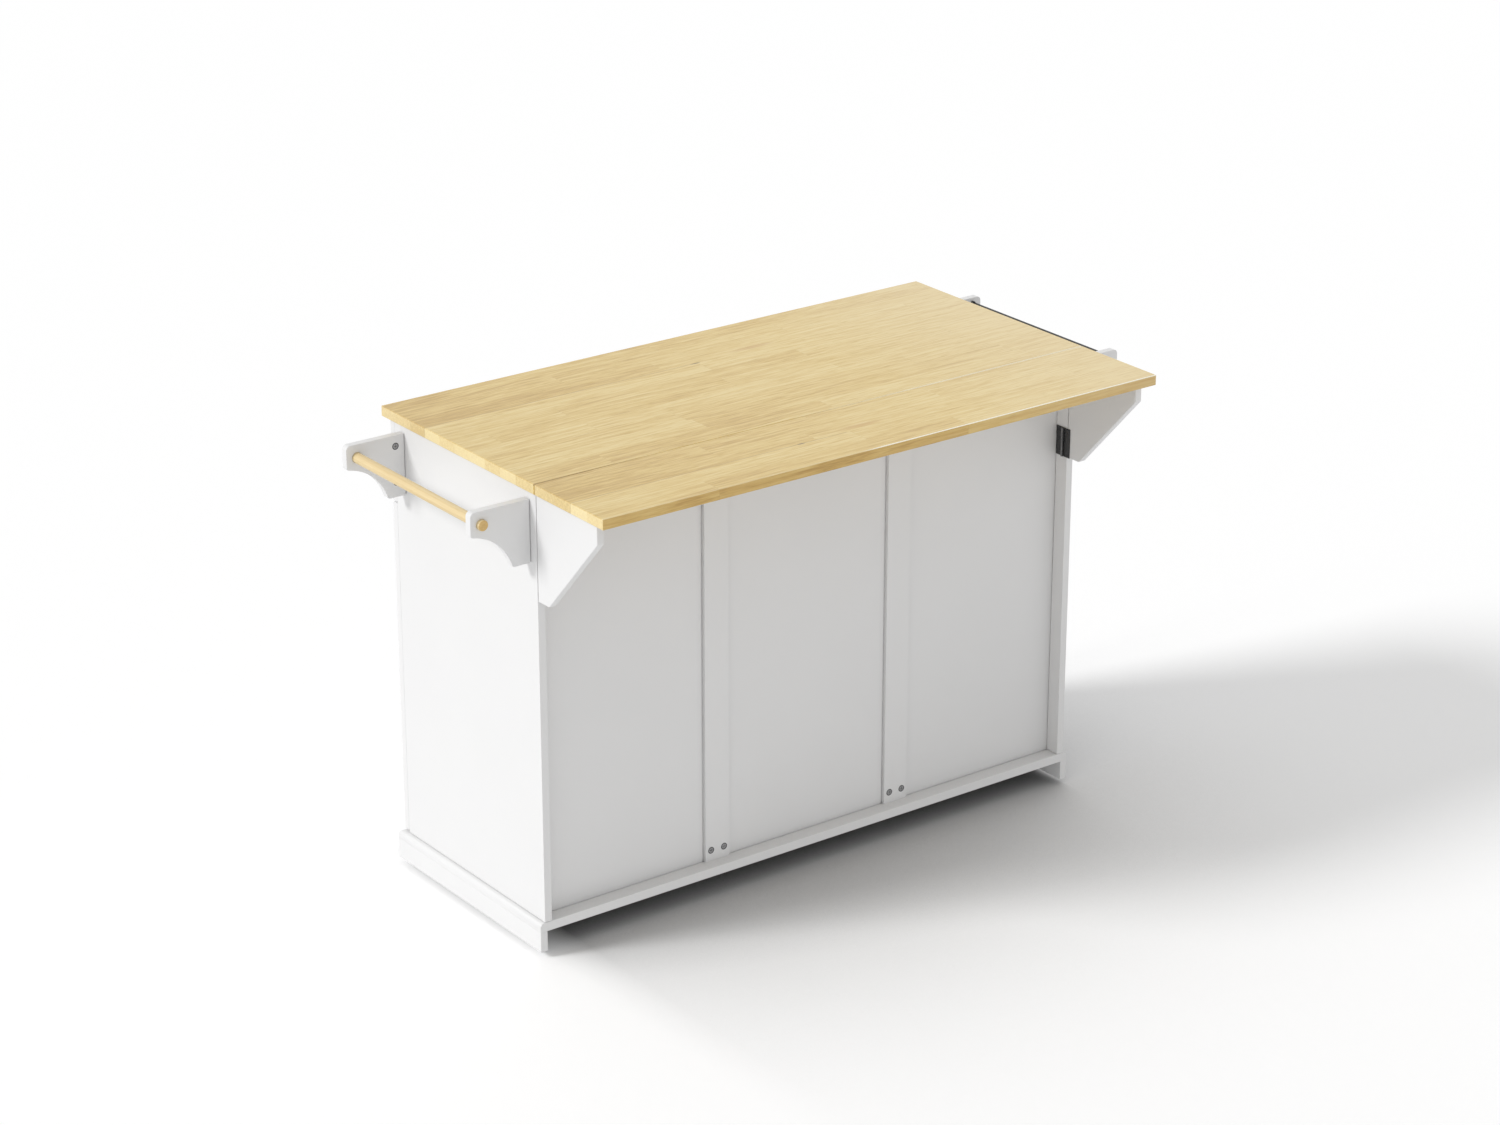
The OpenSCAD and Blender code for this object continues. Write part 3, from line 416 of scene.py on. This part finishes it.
def turned(profile, place, out, steps=40, closed=True):
    """A turned part: a profile of radii and heights spun about the axis that points out.
    The profile is closed, unless its two ends lie on the axis."""
    bm = bmesh.new()
    line = [bm.verts.new((radius, 0.0, height)) for radius, height in profile]
    for first, second in zip(line, line[1:] + (line[:1] if closed else [])):
        bm.edges.new((first, second))
    bmesh.ops.spin(bm, geom=bm.verts[:] + bm.edges[:], cent=(0, 0, 0), axis=(0, 0, 1),
                   angle=math.tau, steps=steps, use_merge=True)
    bmesh.ops.remove_doubles(bm, verts=bm.verts, dist=0.000001)
    bmesh.ops.recalc_face_normals(bm, faces=bm.faces[:])
    bmesh.ops.rotate(bm, cent=(0, 0, 0), verts=bm.verts,
                     matrix=Vector(out).to_track_quat("Z", "Y").to_matrix())
    bmesh.ops.translate(bm, vec=place, verts=bm.verts)
    for face in bm.faces:
        face.smooth = True
    for edge in bm.edges:
        edge.smooth = edge.calc_face_angle(0.0) < math.radians(35)
    return bm


# the thin flange round a cam lies on the board; its dark zinc is painted shade for the
# shaded edge of the recess the cam sits in
CAM_RIM = [(0.0052, -0.0002), (0.0052, 0.0003), (0.0056, 0.0006), (0.0063, 0.0006),
           (0.0068, 0.0002), (0.0068, -0.0002)]
STILE_CAM_X, STILE_CAM_Z = (-0.229, -0.199, 0.199, 0.229), (0.092, 0.888)
RACK_CAM_X, RACK_CAM_Z = (-0.6416, 0.6416), (0.802, 0.872)
stile_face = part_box("back_stiles")[1].y
rack_faces = ((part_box("towel_bracket_front")[1].y, 1),
              (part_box("towel_bracket_rear")[0].y, -1))
rims = [turned(CAM_RIM, (x, stile_face, z), (0, 1, 0))
        for x in STILE_CAM_X for z in STILE_CAM_Z]
rims += [turned(CAM_RIM, (x, y, z), (0, way, 0))
         for x in RACK_CAM_X for z in RACK_CAM_Z for y, way in rack_faces]
# dark zinc: painted shade round the cams
rim_zinc_painted_shade = metal("dark zinc", (0.085, 0.085, 0.09), 0.38)
fit("cam_rims_zinc", rims, rim_zinc_painted_shade, "cabinet", [])

# --- Support brackets and hinges -------------------------------------------------------
# A triangular board swings out at each end to carry the leaf, on two black butt hinges
# with three staggered screws a plate. Three more hinges carry the leaf itself.
for side in ("right", "left"):
    node = f"support_bracket_{side}"
    upright = (Y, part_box(node)[0].y, 0.0008)
    fit(node + "_painted", [eased(node, 0.0014, 3, pared=[upright])], white,
        f"bracket_{side}", [node])

coal, grey = (0.017, 0.017, 0.018), (0.06, 0.06, 0.06)
black = metal("satin black", coal, 0.32, 0.0, grey, 0.4, 0.2)
# the hinges on the sides carry a painted highlight along their barrels
hinge_black_painted_highlight = metal("hinge black", coal, 0.32, 0.0, grey, 0.4, 0.2,
                    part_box("bracket_hinge_flaps_right")[0].x)
fit("fixed_hinge_plates", [eased("hinge_leaves_fixed", 0.0002)], hinge_black_painted_highlight, "cabinet",
    ["hinge_leaves_fixed"])
fit("leaf_hinge_plates", [eased("leaf_hinge_flaps", 0.0002)], black, "leaf",
    ["leaf_hinge_flaps"])
for side in ("right", "left"):
    node = f"bracket_hinge_flaps_{side}"
    fit(node + "_black", [eased(node, 0.0002)], hinge_black_painted_highlight, f"bracket_{side}",
        [node])


def screw_head(place, out, radius=0.0024, rise=0.0006):
    """A raised countersunk head with a dished drive."""
    profile = [(0.0, 0.0), (0.22, 0.0), (0.34, 1.0), (0.66, 0.85), (0.90, 0.40), (1.0, 0.0),
               (1.0, -0.5), (0.0, -0.5)]
    return turned([(radius * r, rise * h) for r, h in profile], place, out, 20, False)


PLATE = 0.0015                                   # a hinge plate's thickness
THREE_SCREWS, STAGGER = (-1, 0, 1), 0.0034       # the middle one is further out
LEAF_HINGE_X, LEAF_HINGE_LENGTH = (-0.35, 0.0, 0.35), 0.060
LEAF_TO_FIXED, LEAF_TO_FLAP = 0.0185, 0.0215     # from the joint to the screws
fixed_screws, leaf_screws = [], []
for step in THREE_SCREWS:
    out_by = 0.0 if step else STAGGER
    for hinge_x in LEAF_HINGE_X:
        x, z = hinge_x + LEAF_HINGE_LENGTH / 3 * step, top_low.z - PLATE
        fixed_screws.append(screw_head((x, JOINT - LEAF_TO_FIXED - out_by, z), (0, 0, -1)))
        leaf_screws.append(screw_head((x, JOINT + LEAF_TO_FLAP + out_by, z), (0, 0, -1)))

BRACKET_HINGE_FEET, BRACKET_HINGE_LENGTH = (0.7047, 0.8457), 0.059
BARREL = 0.0028                                  # its radius
PIN_TO_FIXED, PIN_TO_FLAP = 0.0100, 0.0130       # from the pin to the screws
side_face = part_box("side_panel_right")[0].x
for side, way in (("right", 1), ("left", -1)):
    flap_screws = []
    pin_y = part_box(f"bracket_hinge_flaps_{side}")[0].y + BARREL
    x = way * (side_face - PLATE)
    for foot in BRACKET_HINGE_FEET:
        for step in THREE_SCREWS:
            out_by = 0.0 if step else STAGGER
            z = foot + BRACKET_HINGE_LENGTH * (0.5 + step / 3)
            fixed_screws.append(screw_head((x, pin_y - PIN_TO_FIXED - out_by, z),
                                           (-way, 0, 0)))
            flap_screws.append(screw_head((x, pin_y + PIN_TO_FLAP + out_by, z),
                                          (-way, 0, 0)))
    fit(f"bracket_hinge_screws_{side}", flap_screws, black, f"bracket_{side}",
        [])
fit("fixed_hinge_screws", fixed_screws, black, "cabinet", [])
fit("leaf_hinge_screws", leaf_screws, black, "leaf", [])

# --- Towel bar and spice rack ----------------------------------------------------------
# Scrolled brackets of painted board, cam-locked to the sides: at one end they hold a
# beech dowel, at the other a shelf and a black steel rail.
for node in ("towel_bracket_front", "towel_bracket_rear", "spice_bracket_front",
             "spice_bracket_rear"):
    low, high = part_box(node)
    mounting = (X, low.x, 0.0008) if low.x > 0 else (X, high.x, -0.0008)
    fit(node + "_painted", [eased(node, 0.0013, 3, pared=[mounting])], white, "cabinet",
        [node])
fit("spice_shelf_painted", [eased("spice_shelf", 0.0010)], white, "cabinet",
    ["spice_shelf"])
fit("spice_rail_black", [eased("spice_rail", 0.0003)], black, "cabinet",
    ["spice_rail"])


def dowel_wood():
    """Turned beech, oiled, with short dark flecks along the grain."""
    wood = Finish("dowel beech", Specular_IOR_Level=0.4)
    at = wood.place()
    [y] = wood.axes(at, "Y")
    streak = wood.noise(at, (160.0, 3.0, 160.0), 4.0, 0.6)
    flecks = wood.noise(at, (900.0, 40.0, 900.0), 2.0)
    colour = wood.node("ShaderNodeValToRGB", {"stops": [
        (0.2, (0.62, 0.45, 0.21)), (0.8, (0.79, 0.66, 0.40))]}, [streak])
    dark = ((flecks - 0.57) * 6.0).held() * 0.25
    colour = wood.blend(dark, colour, (0.45, 0.30, 0.13))
    # the sawn ends are browner
    low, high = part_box("towel_bar")
    ends = (y > high.y - 0.0008) + (y < low.y + 0.0008)
    wood.feed("Base Color", wood.blend(ends, colour, (0.93, 0.81, 0.58), "MULTIPLY"))
    wood.feed("Roughness", 0.40 + 0.15 * streak)
    wood.bump(streak - dark, 0.15, 0.0002)
    return wood


fit("towel_dowel", [eased("towel_bar", 0.0015, 3)], dowel_wood(), "cabinet",
    ["towel_bar"])

# --- Shelves ---------------------------------------------------------------------------
# One loose shelf of 15 mm board in each bay, painted white like the rest. It lies on four
# steel pins pushed into the sides and dividers.
fit("shelves_painted", [eased("shelves", 0.0010)], white, "cabinet",
    ["shelves"])
steel = metal("bright zinc", (0.56, 0.56, 0.58), 0.26)
fit("shelf_pins_steel", [eased("shelf_pins", 0.0003)], steel, "cabinet",
    ["shelf_pins"])

# --- Drawers ---------------------------------------------------------------------------
# Painted boxes of four boards and a bottom, which slide on zinc-plated runners between
# the sides and dividers. Each has a framed front of painted board and a black bar pull.
fit("runner_rails_steel", [eased("runner_rails", 0.0002)], steel, "cabinet",
    ["runner_rails"])
for bay in ("left", "middle", "right"):
    body = f"drawer_{bay}_body"
    fit(f"drawer_front_{bay}_painted", [eased(f"drawer_front_{bay}", 0.0012, 3)], white,
        body, [f"drawer_front_{bay}"])
    fit(f"drawer_box_{bay}_painted", [eased(f"drawer_box_{bay}", 0.0008)], white, body,
        [f"drawer_box_{bay}"])
    fit(f"drawer_handle_{bay}_black", [eased(f"drawer_handle_{bay}", 0.0008)], black,
        body, [f"drawer_handle_{bay}"])
    fit(f"drawer_runners_{bay}_steel", [eased(f"drawer_runners_{bay}", 0.0003)], steel,
        body, [f"drawer_runners_{bay}"])

# --- Doors -----------------------------------------------------------------------------
# Framed doors with a lower panel, a black bar pull each, and two concealed hinges whose
# cups are let into the back of the door.
fit("door_hinge_arms", [eased("hinge_arms", 0.0004)], steel, "cabinet",
    ["hinge_arms"])
for bay in ("left", "middle", "right"):
    body = f"door_{bay}_body"
    fit(f"door_{bay}_painted", [eased(f"door_{bay}", 0.0012, 3)], white, body,
        [f"door_{bay}"])
    fit(f"door_handle_{bay}_black", [eased(f"door_handle_{bay}", 0.0008)], black, body,
        [f"door_handle_{bay}"])
    fit(f"hinge_cups_{bay}_steel", [eased(f"hinge_cups_{bay}", 0.0002)], steel, body,
        [f"hinge_cups_{bay}"])

# --- Casters ---------------------------------------------------------------------------
# Four low swivel casters with plated plates and forks and grey rubber wheels, screwed
# under the floor board behind the plinth.
fit("caster_plates_steel", [eased("caster_plates", 0.0003)], steel, "cabinet",
    ["caster_plates"])
SWIVEL_Y = {"front": -0.2606, "rear": 0.0384}
PLATE_UNDER, FROM_SWIVEL = 0.0495, 0.015    # where the four screws of a plate are
caster_screws = []
for end, swivel_y in SWIVEL_Y.items():
    for side in ("right", "left"):
        low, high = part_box(f"caster_fork_{end}_{side}")
        swivel_x = (low.x + high.x) / 2
        caster_screws += [screw_head((swivel_x + i * FROM_SWIVEL,
                                      swivel_y + j * FROM_SWIVEL, PLATE_UNDER),
                                     (0, 0, -1), 0.0036, 0.0016)
                          for i in (-1, 1) for j in (-1, 1)]
fit("caster_screws_steel", caster_screws, steel, "cabinet", [])


def tyre_and_hub(name, axle):
    """Grey rubber with dust on it, round a paler plastic hub."""
    wheel = Finish(name, Specular_IOR_Level=0.3)
    at = wheel.place()
    y, z = wheel.axes(at, "YZ")
    dust = wheel.noise(at, (60.0, 60.0, 60.0), 4.0, 0.6)
    away = ((y - axle.y) ** 2.0 + (z - axle.z) ** 2.0) ** 0.5
    hub = away < HUB
    colour = wheel.blend(dust, (0.035, 0.035, 0.037), (0.11, 0.11, 0.11))
    wheel.feed("Base Color", wheel.blend(hub, colour, (0.24, 0.24, 0.245)))
    wheel.feed("Roughness", 0.60 + 0.25 * dust - 0.20 * hub)
    wheel.bump(dust, 0.2, 0.0004)
    return wheel


# a wheel's section: bore, boss, dished side, tyre wall and crowned tread, and back again
HUB = 0.0122
wall = [(0.0031, 0.0080), (0.0060, 0.0080), (0.0066, 0.0062), (0.0116, 0.0062),
        (HUB, 0.0078), (0.0160, 0.0080), (0.0180, 0.0066), (0.0190, 0.0038)]
section = wall + [(radius, -out) for radius, out in reversed(wall)]
for end in SWIVEL_Y:
    for side in ("right", "left"):
        corner = f"{end}_{side}"
        fit(f"caster_fork_{corner}_steel", [eased(f"caster_fork_{corner}", 0.0003)],
            steel, f"caster_{corner}", [f"caster_fork_{corner}"])
        low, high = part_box(f"caster_wheel_{corner}")
        axle = (low + high) / 2
        fit(f"caster_wheel_{corner}_rubber", [turned(section, axle, (1, 0, 0), 48)],
            tyre_and_hub(f"tyre and hub {corner}", axle), f"wheel_{corner}",
            [f"caster_wheel_{corner}"])

# --- Floor, light and camera -----------------------------------------------------------
# A white studio floor with painted shade and a faint painted glow round the island, one
# soft key light from the towel bar's end, a white surround, and the camera behind and above
# the leaf.
KEY_FROM = Vector((0.781, -0.257, 0.569))
KEY_STRENGTH, KEY_WIDTH = 1.70, 15           # the width in degrees
SURROUND = 0.69                              # as it lights the island; it's seen as 1
ACROSS_KEY = (0.312, 0.95)                   # level, and square to the key's direction

floor_mesh = bpy.data.meshes.new("studio_floor")
sweep = bmesh.new()
bmesh.ops.create_grid(sweep, x_segments=1, y_segments=1, size=20.0)
sweep.to_mesh(floor_mesh)
sweep.free()
studio_floor = bpy.data.objects.new("studio_floor", floor_mesh)
bpy.context.scene.collection.objects.link(studio_floor)
floor_white = Finish("studio floor white", Roughness=0.9, Specular_IOR_Level=0.0)
# painted shade: to the eye the floor's colour is darkened where the object hides the
# surround from it, but not on the lit side, where a faint painted glow keeps it almost as
# white beside the plinth as it is further off
open_sky = floor_white.node("ShaderNodeAmbientOcclusion", {"samples": 12},
                            {"Distance": 3.0}, "AO")
looked_at = floor_white.node("ShaderNodeLightPath", output="Is Camera Ray")
x, y = floor_white.axes(floor_white.place(), "XY")
near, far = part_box("plinth_boards")
lit_side = ((x - far.x + 0.10) / 0.09).held()
lit_front = ((near.y + 0.02 - y) / 0.08).held()
beside = lit_side.maths("MAXIMUM", lit_front)
beyond_corner = (x - far.x) * ACROSS_KEY[0] + (y - far.y) * ACROSS_KEY[1]
past_shadow = (beyond_corner / 0.15).held()
painted_floor_shade = ((0.87 - open_sky) * 1.05).held() * looked_at
painted_floor_shade = painted_floor_shade * (1.0 - beside) * (1.0 - 0.3 * past_shadow)
floor_white.feed("Base Color", floor_white.blend(
    painted_floor_shade, (1.0, 1.0, 1.0), (0.0, 0.0, 0.0)))
# a painted glow on the floor beside the plinth, on the lit side
painted_floor_glow = (1.0 - open_sky) * beside * looked_at * 0.08
floor_white.feed("Emission Color", floor_white.vector(painted_floor_glow, painted_floor_glow, painted_floor_glow))
floor_white.feed("Emission Strength", 1.0)
floor_mesh.materials.append(floor_white.material)

key = bpy.data.lights.new("key", "SUN")
key.energy = KEY_STRENGTH
key.angle = math.radians(KEY_WIDTH)
key_lamp = bpy.data.objects.new("key", key)
bpy.context.scene.collection.objects.link(key_lamp)
key_lamp.rotation_mode = "QUATERNION"
key_lamp.rotation_quaternion = KEY_FROM.to_track_quat("Z", "Y")

world = bpy.data.worlds.new("surround")
bpy.context.scene.world = world
world.use_nodes = True
surround = Nodes(world.node_tree)
background = surround.tree.nodes["Background"]
surround.join(background.inputs["Color"], (1.0, 1.0, 1.0, 1.0))
looked_at, mirrored, seen_through = (
    surround.node("ShaderNodeLightPath", output=f"Is {ray} Ray")
    for ray in ("Camera", "Glossy", "Transmission"))
seen = looked_at.maths("MAXIMUM", mirrored).maths("MAXIMUM", seen_through)
surround.join(background.inputs["Strength"], SURROUND + (1.0 - SURROUND) * seen)

FRAME_WIDTH, FOCAL_LENGTH = 1500.0, 3815.0   # in pixels of the photograph
EYE = Vector((4.0148, 5.3635, 3.2810))
TO_EYE = Vector((0.55161, 0.74572, 0.37367))
camera = bpy.data.cameras.new("camera")
camera.lens = camera.sensor_width * FOCAL_LENGTH / FRAME_WIDTH
camera.clip_start, camera.clip_end = 0.1, 100.0
view = bpy.data.objects.new("camera", camera)
bpy.context.scene.collection.objects.link(view)
view.location = EYE
view.rotation_mode = "QUATERNION"
view.rotation_quaternion = TO_EYE.to_track_quat("Z", "Y")
bpy.context.scene.camera = view
bpy.context.scene.view_settings.view_transform = "Standard"
